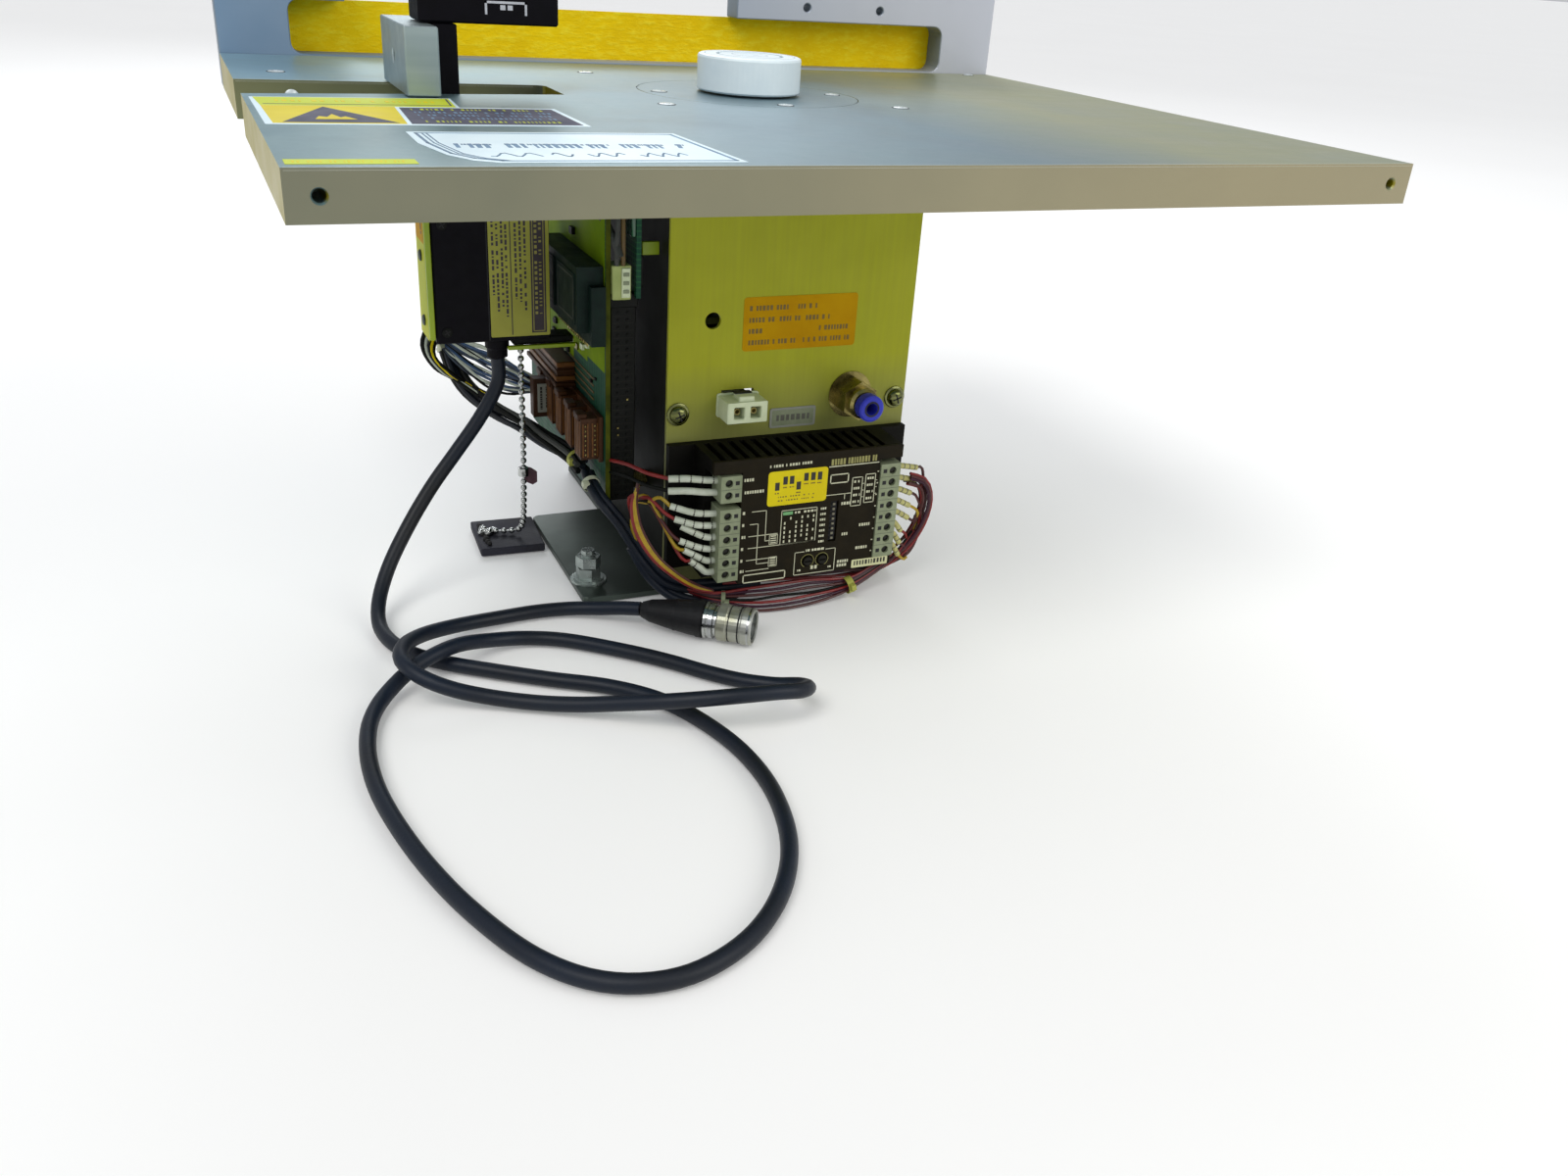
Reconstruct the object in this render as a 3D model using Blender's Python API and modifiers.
"""Wafer alignment unit on its stand: plate, spindle, edge sensor, housing, driver and cables.

Station coordinates, in millimetres: x from the plate's left edge, y back from its front edge,
z up from its top face.  The world origin is under the middle of the unit, on the table.
"""
import math

import bmesh
import bpy
from mathutils import Matrix, Vector

MM = 0.001
GAP = 0.3                       # clearance kept between touching pieces

# --- plate and stand -----------------------------------------------------------------------
PLATE_WIDTH = 330.0
PLATE_DEPTH = 250.0
PLATE_THICK = 12.0
STAND_HEIGHT = 170.0            # table to the plate's top face
TABLE = -STAND_HEIGHT
UNDERSIDE = -PLATE_THICK
REAR_THICK = 12.0
REAR_HEIGHT = 64.0              # rear plate above the top plate
REAR_FRONT = PLATE_DEPTH + GAP
REAR_BACK = REAR_FRONT + REAR_THICK
STRIP_THICK = 1.0
UNIT_DEPTH = REAR_BACK + GAP + STRIP_THICK

# --- notch in the plate and slot in the rear plate -------------------------------------------
NOTCH_RIGHT = 99.5
NOTCH_BACK = 166.0
NOTCH_FRONT_LEFT = 128.8
NOTCH_FRONT_RIGHT = 140.2
SLOT_LEFT = 25.2
SLOT_RIGHT = 303.9
SLOT_TOP = 19.2
SLOT_FLOOR = 0.5
GATE_LEFT = 45.8                # upper opening between the two arms
GATE_RIGHT = 204.0

# --- spindle ----------------------------------------------------------------------------------
AXIS_X = 170.6
AXIS_Y = 154.5
CHUCK_RADIUS = 18.4
CHUCK_LIFT = 0.8
CHUCK_HEIGHT = 12.0
FLANGE_RADIUS = 39.5
FLANGE_THICK = 6.0
HOUSING_RADIUS = 28.0
HOUSING_BOTTOM = -48.0
SHAFT_RADIUS = 6.0
SHAFT_BOTTOM = -72.0
DRIVEN_RADIUS = 20.0
MOTOR_PULLEY_RADIUS = 10.0
MOTOR_Y = 205.0
PULLEY_BOTTOM = -62.0
PULLEY_HEIGHT = 10.0
BELT_THICK = 1.4
FLAG_RADIUS = 24.0
FLAG_BOTTOM = -67.0

# --- housing ------------------------------------------------------------------------------------
HOUSING_LEFT = 124.0
HOUSING_RIGHT = 217.4
SIDE_THICK = 6.0
PANEL_FRONT = 102.1
PANEL_THICK = 1.5
SIDE_FRONT = PANEL_FRONT + PANEL_THICK + GAP
SIDE_BACK = 232.0
BASE_THICK = 2.5
BASE_TOP = TABLE + BASE_THICK
FOOT_LEFT = 94.7
FOOT_BACK = 182.0
SIGHT_HOLE = (139.9, -67.2, 2.9)         # x, z, radius
FITTING_AXIS = (194.5, -97.0)            # x, z
SCREW_Z = -99.5
SCREW_INSET = 4.0

# --- edge sensor ----------------------------------------------------------------------------------
SENSOR_FRONT = 137.0
SENSOR_BACK = 154.0
HEAD_LEFT = 53.4
HEAD_RIGHT = 97.1
HEAD_BOTTOM = 20.5
HEAD_TOP = 52.0
COLUMN_LEFT = 57.3
COLUMN_RIGHT = 65.0
BODY_RIGHT = 92.8
BODY_TOP = -35.0
BODY_BOTTOM = -80.6

# --- circuit board and driver -----------------------------------------------------------------------
BOARD_LEFT = 104.5
BOARD_THICK = 1.6
BOARD_FRONT = 110.0
BOARD_BACK = 215.0
BOARD_TOP = -24.0
BOARD_BOTTOM = -137.0
DRIVER_TOP = -109.8
DRIVER_BOTTOM = -157.0
DRIVER_LEFT = 133.6
DRIVER_RIGHT = 206.6
DRIVER_FRONT = 79.8
FLANGE_PLATE = 3.0
TERMINAL_PITCH = 4.5
TERMINAL_FRONT = 79.2
BODY_FRONT = 88.3               # front of the driver's case behind its terminals
FIN_ROOT = -114.8
LEFT_TERMINALS = (136.2, 143.9)
RIGHT_TERMINALS = (198.0, 206.0)

# --- cords --------------------------------------------------------------------------------------------
CABLE_DIAMETER = 5.0
CHAIN_DIAMETER = 2.4
PLUG_START = (109.7, 82.6)
PLUG_HEADING = math.radians(-36.5)
PLUG_RADIUS = 6.6

# Hand-set route of the sensor cable: x, y and height of its middle above the table.
CABLE_ROUTE = [
    (75.5, 145.5, 81.3), (75.2, 145.3, 72.0), (68.2, 143.5, 60.5), (58.6, 141.0, 49.0),
    (48.8, 137.0, 38.5), (39.2, 131.5, 27.0), (30.6, 124.5, 15.6), (25.0, 115.0, 7.2),
    (23.2, 103.5, 3.2), (25.4, 91.0, 2.8), (31.0, 81.0, 2.7), (39.5, 72.5, 2.7),
    (52.0, 63.5, 2.7), (68.5, 52.5, 2.7), (85.5, 42.0, 2.7), (98.5, 29.0, 2.7),
    (107.0, 12.0, 2.7), (112.0, -7.0, 2.7), (112.5, -28.0, 2.7), (107.5, -50.0, 2.7),
    (97.0, -68.5, 2.7), (82.0, -82.0, 2.7), (64.0, -88.0, 2.7), (47.0, -84.0, 2.7),
    (33.5, -71.0, 2.7), (22.5, -49.0, 2.7), (14.5, -24.0, 2.7), (9.5, 2.0, 2.7),
    (8.5, 22.0, 2.7), (10.5, 39.0, 2.7), (14.5, 51.0, 2.9), (20.5, 59.5, 4.2),
    (28.0, 65.0, 7.0), (36.5, 69.0, 8.8), (45.0, 74.0, 8.0), (56.0, 79.5, 4.8),
    (68.5, 80.5, 3.0), (81.5, 75.0, 2.7), (98.5, 61.5, 2.7), (109.5, 51.0, 2.7),
    (118.0, 41.5, 2.7), (127.0, 33.0, 2.7), (136.0, 26.0, 3.4), (141.6, 20.0, 5.7),
    (141.8, 12.9, 8.8), (136.8, 7.9, 11.4), (128.5, 7.0, 12.9), (118.5, 8.0, 13.1),
    (109.0, 10.5, 12.4), (101.0, 13.8, 11.2), (92.5, 18.8, 9.2), (83.5, 25.0, 6.8),
    (72.5, 32.0, 4.4), (61.0, 38.5, 3.4), (48.5, 44.5, 4.2), (37.0, 49.0, 6.8),
    (28.5, 54.5, 9.8), (24.5, 63.0, 11.6), (27.0, 73.5, 10.8), (34.5, 84.0, 8.0),
    (46.5, 92.5, 5.0), (61.5, 97.5, 3.1), (76.0, 98.8, 2.8), (88.0, 96.8, 3.2),
    (97.5, 91.6, 4.4), (103.6, 87.2, 5.8), (109.2, 83.0, 6.7),
]

# Bead chain: x, y and height above the table.
CHAIN_ROUTE = [
    (84.0, 146.0, 86.4), (83.9, 146.2, 74.0), (84.1, 146.8, 60.0), (84.4, 148.2, 46.0),
    (84.8, 150.6, 33.0), (85.4, 154.2, 21.0), (85.9, 158.4, 11.5), (85.2, 162.6, 6.2),
    (81.6, 164.8, 4.9), (77.6, 165.6, 4.9), (73.6, 166.4, 4.9),
]

HARNESS_UPPER = [
    (68.0, 200.0, -26.0), (66.5, 198.5, -48.0), (65.0, 195.5, -72.0), (64.6, 190.0, -92.0),
    (69.4, 182.0, -108.4), (78.6, 173.4, -116.8), (87.8, 163.0, -120.6), (92.9, 152.0, -122.9),
    (96.8, 142.0, -123.6), (99.4, 132.5, -123.9), (100.4, 124.5, -124.7),
]
HARNESS_LOWER = [
    (100.6, 119.6, -125.6), (100.3, 111.8, -127.8), (102.4, 105.0, -131.8), (107.2, 102.8, -138.2),
    (111.8, 101.4, -146.4), (116.6, 98.8, -153.9), (122.4, 95.8, -160.2), (130.6, 94.2, -162.9),
    (140.0, 93.8, -163.5), (150.0, 93.4, -163.6), (160.0, 93.0, -163.6), (176.0, 92.0, -163.6),
    (192.0, 90.5, -163.4), (204.0, 88.5, -161.8), (213.0, 86.5, -155.5), (219.0, 85.0, -146.0),
    (221.4, 84.5, -135.5), (218.5, 84.0, -127.5), (212.0, 84.0, -124.8),
]
VACUUM_ROUTE = [
    (194.5, 117.0, -97.0), (194.5, 124.0, -97.4), (193.5, 132.0, -99.5), (190.0, 140.0, -103.0),
    (184.0, 147.0, -106.0), (177.5, 152.0, -106.5), (172.6, 154.3, -103.0), (170.6, 154.5, -97.0),
    (170.6, 154.5, -91.4),
]


# --- helpers ------------------------------------------------------------------------------------------
def at(x, y, z):
    """A station point in the world, in metres."""
    return Vector(((x - PLATE_WIDTH / 2) * MM, (y - UNIT_DEPTH / 2) * MM, (z + STAND_HEIGHT) * MM))


def clear_scene():
    for obj in list(bpy.data.objects):
        bpy.data.objects.remove(obj, do_unlink=True)


def new_collection(name):
    collection = bpy.data.collections.new(name)
    bpy.context.scene.collection.children.link(collection)
    return collection


def material(name, colour, roughness, metallic=0.0):
    made = bpy.data.materials.new(name)
    made.use_nodes = True
    shader = made.node_tree.nodes["Principled BSDF"]
    shader.inputs["Base Color"].default_value = (*colour, 1.0)
    shader.inputs["Roughness"].default_value = roughness
    shader.inputs["Metallic"].default_value = metallic
    made.diffuse_color = (*colour, 1.0)
    return made


def add_object(name, data, location, look=None):
    obj = bpy.data.objects.new(name, data)
    obj.location = location
    PARTS.objects.link(obj)
    if look is not None:
        data.materials.append(look)
    return obj


def smooth(obj):
    obj.data.shade_smooth()
    obj.data.set_sharp_from_angle(angle=math.radians(35))
    return obj


def block(name, x, y, z, look, bevel=0.0):
    """A box between station limits x=(low, high), y=(low, high), z=(low, high)."""
    low, high = at(x[0], y[0], z[0]), at(x[1], y[1], z[1])
    mesh = bpy.data.meshes.new(name)
    shape = bmesh.new()
    bmesh.ops.create_cube(shape, size=1.0)
    size = high - low
    bmesh.ops.scale(shape, vec=size, verts=shape.verts)
    shape.to_mesh(mesh)
    shape.free()
    obj = add_object(name, mesh, (low + high) / 2, look)
    if bevel:
        round_edges(obj, bevel)
    return obj


def round_edges(obj, width, segments=1):
    edge = obj.modifiers.new("edges", "BEVEL")
    edge.width = width * MM
    edge.segments = segments
    edge.limit_method = "ANGLE"
    edge.angle_limit = math.radians(40)
    return edge


TURN = {"X": Matrix.Rotation(math.pi / 2, 4, "Y"), "Y": Matrix.Rotation(-math.pi / 2, 4, "X"),
        "Z": Matrix.Identity(4)}


def rod(name, centre, radius, length, look=None, axis="Z", sides=32, tip=None):
    """A cylinder, or a cone frustum when tip is its radius at the positive end."""
    mesh = bpy.data.meshes.new(name)
    shape = bmesh.new()
    bmesh.ops.create_cone(shape, cap_ends=True, segments=sides, radius1=radius * MM,
                          radius2=(radius if tip is None else tip) * MM, depth=length * MM)
    bmesh.ops.transform(shape, matrix=TURN[axis], verts=shape.verts)
    shape.to_mesh(mesh)
    shape.free()
    return smooth(add_object(name, mesh, at(*centre), look))


def turned(name, profile, centre, look=None, axis="Z", sides=40):
    """A solid of revolution. The profile is (radius, height) pairs from top to bottom outside,
    and a hollow one comes back up its bore as a closed ring."""
    hollow = min(radius for radius, _ in profile) > 0
    mesh = bpy.data.meshes.new(name)
    shape = bmesh.new()
    points = [shape.verts.new((radius * MM, 0.0, height * MM)) for radius, height in profile]
    pairs = list(zip(points, points[1:]))
    if hollow:
        pairs.append((points[-1], points[0]))
    for a, b in pairs:
        shape.edges.new((a, b))
    shape.to_mesh(mesh)
    shape.free()
    obj = add_object(name, mesh, at(*centre), look)
    obj.rotation_euler = TURN[axis].to_euler()
    spin = obj.modifiers.new("turn", "SCREW")
    spin.steps = sides
    spin.render_steps = sides
    spin.use_merge_vertices = True
    spin.merge_threshold = 0.00001
    spin.use_smooth_shade = True
    return obj


def outline_solid(name, outline, plane, low, high, look=None):
    """A flat outline in the XY or XZ plane, given depth between two station levels."""
    curve = bpy.data.curves.new(name, "CURVE")
    curve.dimensions = "2D"
    curve.fill_mode = "BOTH"
    curve.extrude = (high - low) * MM / 2
    spline = curve.splines.new("POLY")
    spline.points.add(len(outline) - 1)
    spline.use_cyclic_u = True
    for point, (u, v) in zip(spline.points, outline):
        point.co = (u * MM, v * MM, 0.0, 1.0)
    middle = (low + high) / 2
    origin = at(0, 0, middle) if plane == "XY" else at(0, middle, 0)
    guide = add_object(name + "_outline", curve, origin)
    if plane == "XZ":
        guide.rotation_euler = (math.pi / 2, 0.0, 0.0)
    return curve_to_mesh(guide, name, look)


def curve_to_mesh(guide, name, look):
    bpy.context.view_layer.update()
    evaluated = guide.evaluated_get(bpy.context.evaluated_depsgraph_get())
    mesh = bpy.data.meshes.new_from_object(evaluated)
    mesh.name = name
    shape = bmesh.new()
    shape.from_mesh(mesh)
    bmesh.ops.remove_doubles(shape, verts=shape.verts, dist=0.000002)
    bmesh.ops.recalc_face_normals(shape, faces=shape.faces)
    shape.to_mesh(mesh)
    shape.free()
    mesh.materials.clear()
    placed = guide.matrix_world.copy()
    bpy.data.objects.remove(guide, do_unlink=True)
    obj = add_object(name, mesh, (0, 0, 0), look)
    obj.matrix_world = placed
    return obj


def as_cutter(obj):
    for collection in list(obj.users_collection):
        collection.objects.unlink(obj)
    CUTTERS.objects.link(obj)
    obj.hide_render = True
    obj.display_type = "WIRE"
    return obj


def boolean(obj, other, operation):
    step = obj.modifiers.new(operation.lower(), "BOOLEAN")
    step.operation = operation
    step.object = as_cutter(other)
    step.solver = "EXACT"
    return obj


def cut(obj, *others):
    for other in others:
        boolean(obj, other, "DIFFERENCE")
    return obj


def join(obj, *others):
    for other in others:
        boolean(obj, other, "UNION")
    return obj


def smooth_points(route, step):
    """Even points along a Catmull-Rom curve through the route."""
    dense = []
    for i in range(len(route) - 1):
        p0 = Vector(route[max(i - 1, 0)])
        p1, p2 = Vector(route[i]), Vector(route[i + 1])
        p3 = Vector(route[min(i + 2, len(route) - 1)])
        for k in range(16):
            t = k / 16
            dense.append(0.5 * (2 * p1 + (p2 - p0) * t + (2 * p0 - 5 * p1 + 4 * p2 - p3) * t ** 2
                                + (3 * p1 - p0 - 3 * p2 + p3) * t ** 3))
    dense.append(Vector(route[-1]))
    total = sum((b - a).length for a, b in zip(dense, dense[1:]))
    count = max(2, round(total / step))
    spaced, travelled, target = [dense[0]], 0.0, total / count
    for a, b in zip(dense, dense[1:]):
        length = (b - a).length
        while len(spaced) < count and travelled + length >= target * len(spaced):
            spaced.append(a.lerp(b, (target * len(spaced) - travelled) / length))
        travelled += length
    spaced.append(dense[-1])
    return spaced


def tube(name, points, diameter, look):
    """A round cord along station points, as a curve with filled caps."""
    curve = bpy.data.curves.new(name, "CURVE")
    curve.dimensions = "3D"
    curve.bevel_depth = diameter * MM / 2
    curve.bevel_resolution = 2
    curve.use_fill_caps = True
    spline = curve.splines.new("POLY")
    spline.points.add(len(points) - 1)
    for point, place in zip(spline.points, points):
        point.co = (*at(*place), 1.0)
    return add_object(name, curve, (0, 0, 0), look)


def arc(cx, cy, radius, start, end, steps=6):
    """Points of an arc, in degrees, for rounded outlines."""
    angles = [math.radians(start + (end - start) * k / steps) for k in range(steps + 1)]
    return [(cx + radius * math.cos(a), cy + radius * math.sin(a)) for a in angles]


def mirrored_x(x):
    """The same distance on the other side of the spindle axis."""
    return 2 * AXIS_X - x


# --- materials ------------------------------------------------------------------------------------------
def make_looks():
    return {
        "aluminium": material("anodised_aluminium", (0.52, 0.55, 0.57), 0.38, 0.9),
        "rear_alu": material("rear_plate_aluminium", (0.60, 0.61, 0.66), 0.45, 0.8),
        "yellow": material("yellow_strip", (0.78, 0.62, 0.02), 0.6),
        "panel": material("passivated_panel", (0.46, 0.45, 0.10), 0.45, 0.5),
        "black_alu": material("black_anodised", (0.02, 0.018, 0.016), 0.5, 0.4),
        "steel": material("zinc_steel", (0.35, 0.36, 0.37), 0.35, 1.0),
        "ground": material("ground_steel", (0.62, 0.62, 0.60), 0.2, 1.0),
        "white": material("white_acetal", (0.88, 0.92, 0.93), 0.4),
        "sensor": material("black_sensor", (0.012, 0.012, 0.018), 0.45),
        "rubber": material("belt_rubber", (0.02, 0.02, 0.02), 0.8),
        "motor": material("motor_case", (0.05, 0.05, 0.05), 0.5, 0.3),
        "board": material("green_board", (0.02, 0.16, 0.08), 0.35),
        "black": material("black_plastic", (0.015, 0.015, 0.015), 0.5),
        "cream": material("cream_nylon", (0.82, 0.84, 0.68), 0.5),
        "brown": material("brown_connector", (0.28, 0.11, 0.03), 0.5),
        "driver": material("driver_case", (0.045, 0.035, 0.025), 0.55),
        "grey": material("grey_terminal", (0.45, 0.45, 0.42), 0.55),
        "brass": material("plated_brass", (0.62, 0.50, 0.30), 0.3, 1.0),
        "blue": material("blue_plastic", (0.05, 0.10, 0.55), 0.35),
        "cable": material("cable_jacket", (0.035, 0.05, 0.07), 0.5),
        "wires": material("wire_bundle", (0.03, 0.04, 0.06), 0.5),
        "loom": material("wire_loom", (0.22, 0.04, 0.03), 0.5),
        "chrome": material("bright_plating", (0.7, 0.7, 0.7), 0.15, 1.0),
    }


# --- plates ------------------------------------------------------------------------------------------------
def top_plate():
    plate = block("top_plate", (0, PLATE_WIDTH), (0, PLATE_DEPTH), (UNDERSIDE, 0), LOOK["aluminium"])
    corner = 3.0
    outline = [(-2, NOTCH_FRONT_LEFT), (NOTCH_RIGHT, NOTCH_FRONT_RIGHT)]
    outline += arc(NOTCH_RIGHT - corner, NOTCH_BACK - corner, corner, 0, 90, 4)
    outline += [(-2, NOTCH_BACK)]
    notch = outline_solid("notch", outline, "XY", UNDERSIDE - 2, 2)
    bore = rod("spindle_bore", (AXIS_X, AXIS_Y, -6), HOUSING_RADIUS + GAP, 16, sides=48)
    recess = rod("flange_recess", (AXIS_X, AXIS_Y, -FLANGE_THICK / 2), FLANGE_RADIUS + GAP,
                 FLANGE_THICK + 2 * GAP, sides=48)
    recess.location.z = at(0, 0, -(FLANGE_THICK + GAP) / 2 + 1).z
    recess.scale.z = (FLANGE_THICK + GAP + 2) / (FLANGE_THICK + 2 * GAP)
    cut(plate, notch, bore, recess)
    for side, x in (("left", 7.5), ("right", PLATE_WIDTH - 7.5)):
        hole = rod(f"edge_hole_{side}", (x, 6, -6), 1.6, 16, axis="Y", sides=20)
        sink = rod(f"edge_sink_{side}", (x, 0, -6), 2.3, 1.2, axis="Y", sides=20, tip=1.6)
        cut(plate, hole, sink)
    round_edges(plate, 0.5)
    return plate


def rear_plate():
    corner = 4.0
    outline = [(0, UNDERSIDE), (PLATE_WIDTH, UNDERSIDE), (PLATE_WIDTH, REAR_HEIGHT),
               (GATE_RIGHT, REAR_HEIGHT), (GATE_RIGHT, SLOT_TOP)]
    outline += arc(SLOT_RIGHT - corner, SLOT_TOP - corner, corner, 90, 0)
    outline += arc(SLOT_RIGHT - corner, SLOT_FLOOR + corner, corner, 0, -90)
    outline += arc(SLOT_LEFT + corner, SLOT_FLOOR + corner, corner, 270, 180)
    outline += arc(SLOT_LEFT + corner, SLOT_TOP - corner, corner, 180, 90)
    outline += [(GATE_LEFT, SLOT_TOP), (GATE_LEFT, REAR_HEIGHT), (0, REAR_HEIGHT)]
    plate = outline_solid("rear_plate", outline, "XZ", REAR_FRONT, REAR_BACK, LOOK["rear_alu"])
    middle = (REAR_FRONT + REAR_BACK) / 2
    for index, x in enumerate((236.3, 271.5)):
        cut(plate, rod(f"rear_hole_{index}", (x, middle, 24.6), 1.7, 16, axis="Y", sides=16))
    round_edges(plate, 0.4)
    return plate


def rear_strip():
    return block("rear_backing_strip", (14, 316), (REAR_BACK + GAP, UNIT_DEPTH), (-4, SLOT_TOP - 0.2),
                 LOOK["yellow"])


# --- spindle -------------------------------------------------------------------------------------------------
def spindle_housing():
    bearing_bore = 14.3
    profile = [(11.0, 0), (FLANGE_RADIUS, 0), (FLANGE_RADIUS, -FLANGE_THICK),
               (HOUSING_RADIUS, -FLANGE_THICK), (HOUSING_RADIUS, HOUSING_BOTTOM),
               (bearing_bore, HOUSING_BOTTOM), (bearing_bore, -12), (11.0, -12)]
    return turned("spindle_housing", profile, (AXIS_X, AXIS_Y, 0), LOOK["aluminium"], sides=48)


def bearing(name, top):
    profile = [(13.0, 0), (14.0, -0.6), (14.0, -8), (SHAFT_RADIUS + 0.2, -8), (SHAFT_RADIUS + 0.2, 0)]
    return turned(name, profile, (AXIS_X, AXIS_Y, top), LOOK["ground"], sides=32)


def spindle_shaft():
    profile = [(10.5, 0.5), (10.5, -3), (SHAFT_RADIUS, -3), (SHAFT_RADIUS, SHAFT_BOTTOM),
               (2.0, SHAFT_BOTTOM), (2.0, 0.5)]
    return turned("spindle_shaft", profile, (AXIS_X, AXIS_Y, 0), LOOK["ground"], sides=32)


def vacuum_chuck():
    """A low white puck with a vacuum hole and one ring groove."""
    rim = CHUCK_RADIUS
    top = CHUCK_HEIGHT
    profile = [(12.0, top), (rim - 1.0, top), (rim - 0.3, top - 0.3), (rim, top - 1.0), (rim, 0.6),
               (rim - 0.6, 0), (2.0, 0), (2.0, top - 1.2), (3.2, top), (10.8, top),
               (10.8, top - 0.8), (12.0, top - 0.8)]
    return turned("vacuum_chuck", profile, (AXIS_X, AXIS_Y, CHUCK_LIFT), LOOK["white"], sides=64)


def pulley(name, x, y, radius, bore):
    height = PULLEY_HEIGHT
    lip = 1.0
    profile = [(radius + 1, height), (radius + 1, height - lip), (radius - 0.2, height - lip),
               (radius - 0.2, lip), (radius + 1, lip), (radius + 1, 0), (bore, 0), (bore, height)]
    return turned(name, profile, (x, y, PULLEY_BOTTOM), LOOK["aluminium"], sides=32)


def belt_outline(big, small, spacing):
    """Open-belt outline round two circles, the small one back along +Y."""
    lean = math.degrees(math.asin((big - small) / spacing))
    outline = arc(AXIS_X, AXIS_Y, big, 180 - lean, 360 + lean, 24)
    outline += arc(AXIS_X, AXIS_Y + spacing, small, lean, 180 - lean, 14)
    return outline


def timing_belt():
    spacing = MOTOR_Y - AXIS_Y
    low, high = PULLEY_BOTTOM + 1.3, PULLEY_BOTTOM + PULLEY_HEIGHT - 1.3
    inner_big, inner_small = DRIVEN_RADIUS + 0.1, MOTOR_PULLEY_RADIUS + 0.1
    belt = outline_solid("timing_belt", belt_outline(inner_big + BELT_THICK, inner_small + BELT_THICK,
                                                     spacing), "XY", low, high, LOOK["rubber"])
    hollow = outline_solid("belt_inside", belt_outline(inner_big, inner_small, spacing), "XY",
                           low - 1, high + 1)
    return cut(belt, hollow)


def home_flag():
    disc = turned("home_flag", [(FLAG_RADIUS, 1.0), (FLAG_RADIUS, 0), (SHAFT_RADIUS + 0.1, 0),
                                (SHAFT_RADIUS + 0.1, 1.0)],
                  (AXIS_X, AXIS_Y, FLAG_BOTTOM), LOOK["steel"], sides=48)
    window = block("flag_window", (AXIS_X + 16, AXIS_X + 30), (AXIS_Y - 1.5, AXIS_Y + 1.5),
                   (FLAG_BOTTOM - 2, FLAG_BOTTOM + 3), None)
    return cut(disc, window)


def home_sensor():
    """Slotted light barrier on the strap that carries it from the left side plate."""
    x_face = AXIS_X - 17.5
    left = HOUSING_LEFT + SIDE_THICK + GAP
    fork = block("home_sensor", (x_face - 13, x_face), (AXIS_Y - 3.5, AXIS_Y + 3.5), (-73, -62.5),
                 LOOK["black"])
    strap = block("sensor_strap", (left, AXIS_X - 22), (AXIS_Y - 5, AXIS_Y + 5), (-74.6, -72.6), None)
    gap = block("fork_gap", (x_face - 9, x_face + 2), (AXIS_Y - 6, AXIS_Y + 6), (-69, -64.5), None)
    join(fork, strap)
    return cut(fork, gap)


def motor_bracket():
    left, right = HOUSING_LEFT + SIDE_THICK + GAP, HOUSING_RIGHT - SIDE_THICK - GAP
    plate = block("motor_bracket", (left, right), (182, 230), (-69.3, -65.3), LOOK["aluminium"])
    cut(plate, rod("motor_pilot", (AXIS_X, MOTOR_Y, -67), 11.3, 8, sides=32))
    round_edges(plate, 0.4)
    return plate


def stepper_motor():
    half, cut_corner = 21.0, 4.0
    body = block("stepper_motor", (AXIS_X - half, AXIS_X + half), (MOTOR_Y - half, MOTOR_Y + half),
                 (-109.6, -69.6), LOOK["motor"])
    chamfer = body.modifiers.new("corners", "BEVEL")
    chamfer.width = cut_corner * MM
    chamfer.segments = 1
    chamfer.limit_method = "WEIGHT"
    weights = body.data.attributes.new("bevel_weight_edge", "FLOAT", "EDGE")
    for edge in body.data.edges:
        a, b = (body.data.vertices[i].co for i in edge.vertices)
        upright = abs(a.x - b.x) < 1e-6 and abs(a.y - b.y) < 1e-6
        weights.data[edge.index].value = 1.0 if upright else 0.0
    pilot = turned("motor_pilot_ring", [(11.0, 2.0), (11.0, -1.0), (3.0, -1.0), (3.0, 2.0)],
                   (AXIS_X, MOTOR_Y, -69.6), None, sides=32)
    well = rod("motor_shaft_well", (AXIS_X, MOTOR_Y, -72), 3.0, 10, sides=24)
    join(body, pilot)
    cut(body, well)
    return body


def motor_shaft():
    return rod("motor_shaft", (AXIS_X, MOTOR_Y, -64.0), 2.5, 22, LOOK["ground"], sides=20)


def rotary_union():
    """Standing swivel that feeds vacuum into the turning shaft, held by its cross strap."""
    left, right = HOUSING_LEFT + SIDE_THICK + GAP, HOUSING_RIGHT - SIDE_THICK - GAP
    profile = [(9.0, -70.0), (9.0, -82.0), (5.0, -84.0), (5.0, -91.0), (1.6, -91.0), (1.6, -80.0),
               (SHAFT_RADIUS + 0.4, -80.0), (SHAFT_RADIUS + 0.4, -70.0)]
    swivel = turned("rotary_union", profile, (AXIS_X, AXIS_Y, 0), LOOK["aluminium"], sides=28)
    strap = block("union_strap", (left, right), (AXIS_Y - 12, AXIS_Y + 12), (-80, -77.5), None)
    cut(strap, rod("union_seat", (AXIS_X, AXIS_Y, -79), 8.0, 6, sides=28))
    return join(swivel, strap)


# --- housing -------------------------------------------------------------------------------------------------
def side_plates():
    z = (BASE_TOP + GAP, UNDERSIDE - GAP)
    y = (SIDE_FRONT, SIDE_BACK)
    left = block("side_plate_left", (HOUSING_LEFT, HOUSING_LEFT + SIDE_THICK), y, z, LOOK["black_alu"], 0.4)
    right = block("side_plate_right", (HOUSING_RIGHT - SIDE_THICK, HOUSING_RIGHT), y, z,
                  LOOK["black_alu"], 0.4)
    return left, right


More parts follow.
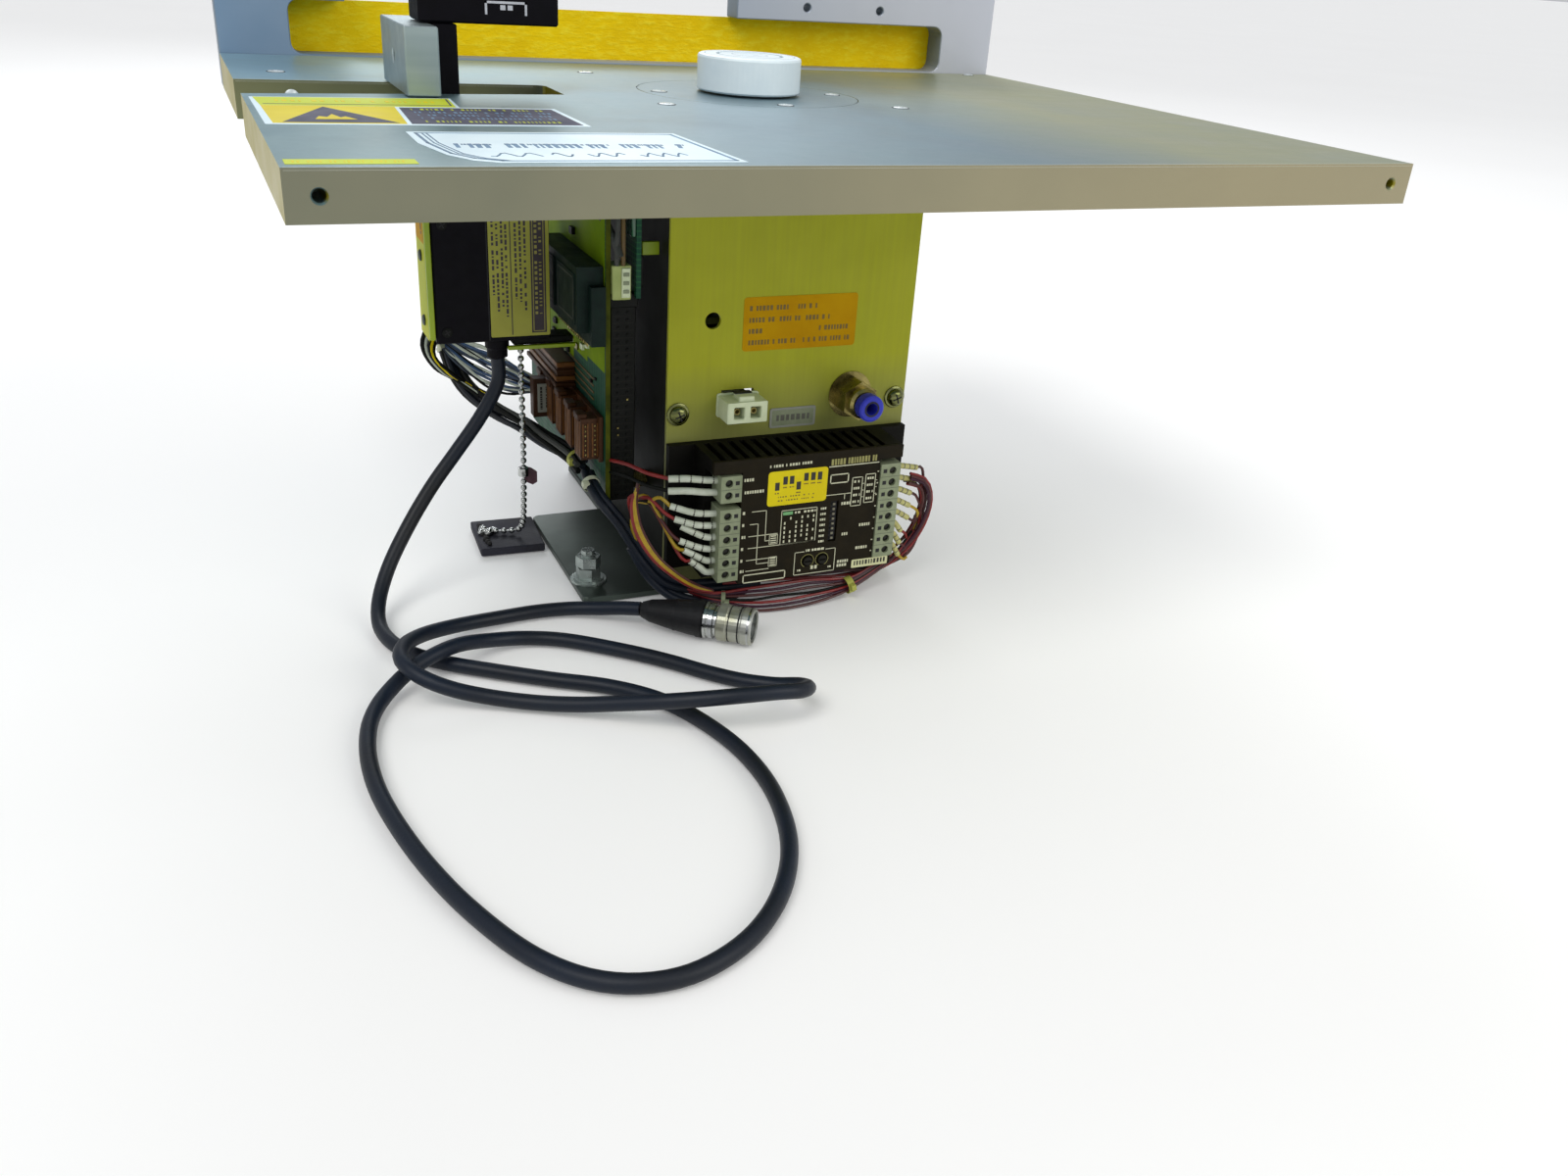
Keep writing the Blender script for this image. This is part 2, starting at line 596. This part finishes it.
def front_panel():
    panel = block("front_panel", (HOUSING_LEFT, HOUSING_RIGHT), (PANEL_FRONT, PANEL_FRONT + PANEL_THICK),
                  (BASE_TOP + GAP, UNDERSIDE - GAP), LOOK["panel"])
    x, z, radius = SIGHT_HOLE
    sight = rod("sight_hole_cut", (x, PANEL_FRONT, z), radius, 8, axis="Y", sides=28)
    window = block("connector_window", (144, 156.2), (PANEL_FRONT - 4, PANEL_FRONT + 4), (-100, -92), None)
    port = rod("fitting_port", (FITTING_AXIS[0], PANEL_FRONT, FITTING_AXIS[1]), 5.3, 8, axis="Y", sides=28)
    return cut(panel, sight, window, port)


def base_plate():
    corner = 3.0
    outline = arc(FOOT_LEFT + corner, SIDE_FRONT + corner, corner, 180, 270, 3)
    outline += [(HOUSING_RIGHT, SIDE_FRONT), (HOUSING_RIGHT, SIDE_BACK), (HOUSING_LEFT, SIDE_BACK),
                (HOUSING_LEFT, FOOT_BACK)]
    outline += arc(FOOT_LEFT + corner, FOOT_BACK - corner, corner, 90, 180, 3)
    plate = outline_solid("base_plate", outline, "XY", TABLE, BASE_TOP, LOOK["steel"])
    round_edges(plate, 0.3)
    return plate


def base_stud():
    """Fixing stud with its washer and two stacked nuts, standing on the foot flange."""
    x, y, z = 100.6, 119.0, BASE_TOP + GAP
    stud = rod("base_stud", (x, y, z + 6), 2.5, 12, LOOK["steel"], sides=20)
    washer = rod("stud_washer", (x, y, z + 0.6), 5.6, 1.2, sides=28)
    lower = rod("stud_nut_low", (x, y, z + 3.2), 4.6, 4.0, sides=6)
    upper = rod("stud_nut_high", (x, y, z + 7.6), 4.6, 4.0, sides=6)
    upper.rotation_euler.z = math.radians(20)
    join(stud, washer, lower, upper)
    return stud


def panel_screw(name, x):
    y = PANEL_FRONT - GAP
    head = turned(name, [(0, 2.4), (1.6, 2.2), (2.9, 1.5), (3.5, 0.6), (3.5, 0), (0, 0)],
                  (x, y, SCREW_Z), LOOK["chrome"], axis="Y", sides=28)
    head.rotation_euler = (math.pi / 2, 0, 0)
    bar = block("cross_a", (x - 1.9, x + 1.9), (y - 4, y - 1.3), (SCREW_Z - 0.45, SCREW_Z + 0.45), None)
    post = block("cross_b", (x - 0.45, x + 0.45), (y - 4, y - 1.3), (SCREW_Z - 1.9, SCREW_Z + 1.9), None)
    return cut(head, bar, post)


def power_connector():
    """Two-way cream socket standing out of the front panel, with its latch on top."""
    y = (92.0, PANEL_FRONT - GAP)
    x = (142.6, 157.6)
    shell = block("power_connector", x, y, (-101.2, -93.6), LOOK["cream"])
    neck = block("connector_neck", (144.4, 155.8), (PANEL_FRONT - 2, PANEL_FRONT + 8), (-99.6, -94.6), None)
    latch = block("connector_latch", (147.2, 153.0), (93.2, 99.0), (-94.2, -91.9), None)
    join(shell, neck, latch)
    for index, centre in enumerate((147.0, 153.2)):
        cavity = block(f"pin_cavity_{index}", (centre - 1.9, centre + 1.9), (90, 98), (-99.6, -95.4), None)
        cut(shell, cavity)
    round_edges(shell, 0.3)
    return shell


def bulkhead_fitting():
    """Push-in bulkhead fitting with its hexagon nut."""
    x, z = FITTING_AXIS
    profile = [(3.6, -3.0), (4.6, -3.0), (5.6, -2.2), (5.6, 8.4), (5.0, 9.2), (5.0, 27.0), (2.2, 27.0),
               (2.2, 20.0), (3.6, 18.0)]
    body = turned("bulkhead_fitting", [(radius, -y) for radius, y in profile], (x, 92.6, z),
                  LOOK["brass"], sides=28)
    body.rotation_euler = (math.pi / 2, 0, 0)
    nut = rod("fitting_nut", (x, 97.4, z), 7.2, 8.4, None, axis="Y", sides=6)
    cut(nut, rod("nut_bore", (x, 97.4, z), 4.6, 12, axis="Y", sides=28))
    return join(body, nut)


def fitting_collar():
    """Release ring that is pushed in to free the tube."""
    x, z = FITTING_AXIS
    profile = [(4.2, 4.6), (4.8, 4.2), (4.8, 0.4), (3.3, 0.4), (3.3, -9.0), (2.2, -9.0), (2.2, 4.6)]
    ring = turned("fitting_collar", profile, (x, 88.6, z), LOOK["blue"], sides=32)
    ring.rotation_euler = (math.pi / 2, 0, 0)
    return ring


# --- edge sensor ----------------------------------------------------------------------------------------------
def sensor_mount_bar():
    bar = block("sensor_mount_bar", (46.9, COLUMN_LEFT - GAP), (124.6, 171.0), (GAP, 20.1), LOOK["aluminium"])
    cut(bar, rod("bar_screw_hole", (46.9, 148, 10), 2.2, 6, axis="X", sides=20))
    round_edges(bar, 0.4)
    return bar


def sensor_column():
    return block("sensor_column", (COLUMN_LEFT, COLUMN_RIGHT), (SENSOR_FRONT + 0.4, SENSOR_BACK - 0.4),
                 (BODY_TOP + GAP, HEAD_BOTTOM - GAP), LOOK["sensor"], 0.3)


def sensor_head():
    return block("sensor_head", (HEAD_LEFT, HEAD_RIGHT), (SENSOR_FRONT, SENSOR_BACK),
                 (HEAD_BOTTOM, HEAD_TOP), LOOK["sensor"], 0.6)


def sensor_body():
    body = block("sensor_body", (HEAD_LEFT, BODY_RIGHT), (SENSOR_FRONT, SENSOR_BACK),
                 (BODY_BOTTOM, BODY_TOP), LOOK["sensor"])
    x, y, _ = CABLE_ROUTE[0]
    gland = turned("cable_gland", [(0, BODY_BOTTOM + 2), (4.2, BODY_BOTTOM + 2), (4.2, -84.6),
                                   (3.6, -85.4), (3.6, -88.1), (0, -88.1)], (x, y, 0), None, sides=24)
    round_edges(body, 0.6)
    return join(body, gland)


def sensor_side_plate():
    return block("sensor_side_plate", (51.2, HEAD_LEFT - GAP), (SENSOR_FRONT, SENSOR_BACK), (-79, -36),
                 LOOK["panel"], 0.2)


def sensor_foot():
    """Black strap under the sensor that the chain hangs from."""
    return block("sensor_foot", (80.4, 102.0), (141.5, 150.0), (BODY_BOTTOM - GAP - 2.6, BODY_BOTTOM - GAP),
                 LOOK["black"], 0.3)


# --- circuit board ------------------------------------------------------------------------------------------------
def circuit_board():
    return block("circuit_board", (BOARD_LEFT, BOARD_LEFT + BOARD_THICK), (BOARD_FRONT, BOARD_BACK),
                 (BOARD_BOTTOM, BOARD_TOP), LOOK["board"])


def board_standoffs():
    right = BOARD_LEFT + BOARD_THICK + GAP
    length = HOUSING_LEFT - GAP - right
    spots = {"front_low": (124, -131), "front_high": (130, -30), "back_low": (209, -131),
             "back_high": (209, -30)}
    for name, (y, z) in spots.items():
        rod(f"standoff_{name}", (right + length / 2, y, z), 3.2, length, LOOK["brass"], axis="X", sides=6)


def board_connectors():
    right = BOARD_LEFT + BOARD_THICK + GAP
    left = BOARD_LEFT - GAP
    block("side_header", (right, right + 8.8), (110.5, 118), (-133, -62), LOOK["black"], 0.3)
    block("cream_header", (right, right + 6.4), (108.4, 116), (-60.4, -49), LOOK["cream"], 0.3)
    riser_left = right + 8.0
    block("riser_board", (riser_left, riser_left + BOARD_THICK), (108.0, 122.0), (-60, -22), LOOK["board"])
    big = block("main_header", (left - 9.0, left), (112, 166), (-72, -50), LOOK["black"])
    join(big, block("header_step", (left - 5.0, left), (108.6, 174), (-76, -56), None))
    row = block("cable_header_row", (left - 1.4, left), (112, 176), (-118.6, -102), LOOK["brown"])
    for index in range(5):
        y = 114.0 + 13.0 * index
        join(row, block(f"cable_header_{index + 1}", (left - 7.4, left - 1), (y, y + 8), (-118, -103), None))


# --- driver ----------------------------------------------------------------------------------------------------------
def driver_heatsink():
    """Finned case on its fixing flange: the fins run front to back across the top."""
    back = PANEL_FRONT - GAP
    sink = block("driver_heatsink", (DRIVER_LEFT, DRIVER_RIGHT), (BODY_FRONT, back - 1),
                 (DRIVER_BOTTOM, DRIVER_TOP), LOOK["driver"])
    slab = block("driver_fin_slab", (DRIVER_LEFT, DRIVER_RIGHT), (DRIVER_FRONT + 1.8, back - 2),
                 (FIN_ROOT, DRIVER_TOP), None)
    flange = block("driver_flange", (HOUSING_LEFT, HOUSING_RIGHT), (back - FLANGE_PLATE, back),
                   (DRIVER_BOTTOM, DRIVER_TOP), None)
    join(sink, slab, flange)
    fin_pitch = 4.4
    first = DRIVER_LEFT + 3.0
    for index in range(int((DRIVER_RIGHT - first) / fin_pitch)):
        x = first + fin_pitch * index
        cut(sink, block(f"fin_gap_{index}", (x, x + 2.0), (DRIVER_FRONT, back - FLANGE_PLATE - 0.2),
                        (FIN_ROOT + 1.2, DRIVER_TOP + 2), None))
    return sink


def driver_face():
    """Printed front cover: a strip across the top and the field between the terminals."""
    face = block("driver_face", (LEFT_TERMINALS[1] + GAP, RIGHT_TERMINALS[0] - GAP),
                 (DRIVER_FRONT, BODY_FRONT - GAP), (DRIVER_BOTTOM, FIN_ROOT - GAP), LOOK["driver"])
    strip = block("driver_face_strip", (DRIVER_LEFT, DRIVER_RIGHT), (DRIVER_FRONT, DRIVER_FRONT + 1.5),
                  (FIN_ROOT + 0.3, DRIVER_TOP), None)
    web = block("driver_face_web", (LEFT_TERMINALS[1] + GAP, RIGHT_TERMINALS[0] - GAP),
                (DRIVER_FRONT, DRIVER_FRONT + 1.5), (FIN_ROOT - 3, DRIVER_TOP - 2), None)
    join(face, strip, web)
    slot = block("switch_slot", (179.0, 182.2), (DRIVER_FRONT - 2, DRIVER_FRONT + 2.0), (-144.8, -128.9), None)
    cut(face, slot)
    for index, x in enumerate(TRIMMERS):
        cut(face, rod(f"trimmer_well_{index}", (x, DRIVER_FRONT, TRIMMER_Z), 2.3, 2.6, axis="Y", sides=20))
    return face


TRIMMERS = (171.4, 177.2)
TRIMMER_Z = -151.4


def trimmer(name, x):
    """Slotted adjuster that a screwdriver turns."""
    knob = rod(name, (x, DRIVER_FRONT + 0.1, TRIMMER_Z), 1.7, 1.6, LOOK["white"], axis="Y", sides=20)
    slot = block(name + "_slot", (x - 1.3, x + 1.3), (DRIVER_FRONT - 2, DRIVER_FRONT - 0.1),
                 (TRIMMER_Z - 0.3, TRIMMER_Z + 0.3), None)
    return cut(knob, slot)


def terminal_block(name, limits, top, ways):
    """Row of screw terminals: screw wells on the outer side, test holes on the inner side."""
    low = top - ways * TERMINAL_PITCH - 0.8
    row = block(name, limits, (TERMINAL_FRONT, BODY_FRONT - GAP), (low, top), LOOK["grey"])
    outward = -1 if limits[0] < AXIS_X else 1
    screw_x = (limits[0] + limits[1]) / 2 + 0.9 * outward
    for way in range(ways):
        centre = top - 0.4 - TERMINAL_PITCH * (way + 0.5)
        cut(row, rod(f"{name}_well_{way}", (screw_x, TERMINAL_FRONT, centre), 1.45, 3.0, axis="Y", sides=12))
    return row


# --- cords -------------------------------------------------------------------------------------------------------------
def sensor_cable():
    route = [(x, y, height + TABLE) for x, y, height in CABLE_ROUTE]
    return tube("sensor_cable", smooth_points(route, 12.5), CABLE_DIAMETER, LOOK["cable"])


def plug_pieces():
    """Boot, body and sliding sleeve of the round connector, lying on the table."""
    lay = Matrix.Rotation(PLUG_HEADING, 4, "Z") @ TURN["X"]
    start = Vector((*PLUG_START, TABLE + PLUG_RADIUS + 0.1))
    way = Vector((math.cos(PLUG_HEADING), math.sin(PLUG_HEADING), 0.0))

    def placed(name, profile, along, look):
        piece = turned(name, [(r, -h) for r, h in profile], tuple(start + way * along), look, sides=32)
        piece.rotation_euler = (lay @ Matrix.Rotation(math.pi, 4, "X")).to_euler()
        return piece

    placed("plug_boot", [(0, 0), (2.8, 0), (4.0, 3), (5.2, 10), (6.2, 18), (6.4, 23), (0, 23)], 0.0,
           LOOK["black"])
    placed("plug_body", [(0, 0), (5.9, 0), (5.9, 3.0), (5.3, 3.4), (5.3, 16.2), (4.6, 16.9), (4.6, 15.4),
                         (0, 15.4)], 23.3, LOOK["chrome"])
    placed("plug_sleeve", [(6.1, 0), (6.6, 0.5), (6.6, 3.4), (6.3, 3.8), (6.3, 8.6), (6.6, 9.0), (6.6, 12.2),
                           (6.1, 12.6), (5.6, 12.6), (5.6, 0)], 27.9, LOOK["chrome"])


def bead_chain():
    route = [(x, y, height + TABLE) for x, y, height in CHAIN_ROUTE]
    return tube("bead_chain", smooth_points(route, 5.0), CHAIN_DIAMETER, LOOK["chrome"])


def chain_plate():
    plate = block("chain_plate", (69.0, 93.6), (153.0, 180.5), (TABLE, TABLE + 3.2), LOOK["black"], 0.4)
    plate.rotation_euler.z = math.radians(-3)
    plate.location += Vector((0.0, 0.0, 0.0001))
    return plate


def harnesses():
    tube("harness_upper", smooth_points(HARNESS_UPPER, 8.0), 7.0, LOOK["wires"])
    tube("harness_lower", smooth_points(HARNESS_LOWER, 8.0), 5.6, LOOK["loom"])
    tube("vacuum_tube", smooth_points(VACUUM_ROUTE, 5.0), 4.0, LOOK["blue"])


def build():
    top_plate()
    rear_plate()
    rear_strip()
    spindle_housing()
    bearing("bearing_upper", -14.0)
    bearing("bearing_lower", -38.0)
    spindle_shaft()
    vacuum_chuck()
    pulley("driven_pulley", AXIS_X, AXIS_Y, DRIVEN_RADIUS, SHAFT_RADIUS + 0.1)
    pulley("motor_pulley", AXIS_X, MOTOR_Y, MOTOR_PULLEY_RADIUS, 2.6)
    timing_belt()
    home_flag()
    home_sensor()
    motor_bracket()
    stepper_motor()
    motor_shaft()
    rotary_union()
    side_plates()
    front_panel()
    base_plate()
    base_stud()
    panel_screw("panel_screw_left", HOUSING_LEFT + SCREW_INSET)
    panel_screw("panel_screw_right", mirrored_x(HOUSING_LEFT + SCREW_INSET))
    power_connector()
    bulkhead_fitting()
    fitting_collar()
    sensor_mount_bar()
    sensor_column()
    sensor_head()
    sensor_body()
    sensor_side_plate()
    sensor_foot()
    circuit_board()
    board_standoffs()
    board_connectors()
    driver_heatsink()
    driver_face()
    for name, x in zip(("trimmer_current", "trimmer_hold"), TRIMMERS):
        trimmer(name, x)
    terminal_block("terminals_power", LEFT_TERMINALS, -115.1, 2)
    terminal_block("terminals_motor", LEFT_TERMINALS, -127.4, 6)
    terminal_block("terminals_signal", RIGHT_TERMINALS, -116.5, 8)
    sensor_cable()
    plug_pieces()
    bead_chain()
    chain_plate()
    harnesses()


clear_scene()
PARTS = new_collection("wafer_alignment_unit")
CUTTERS = new_collection("cutters")
LOOK = make_looks()
build()
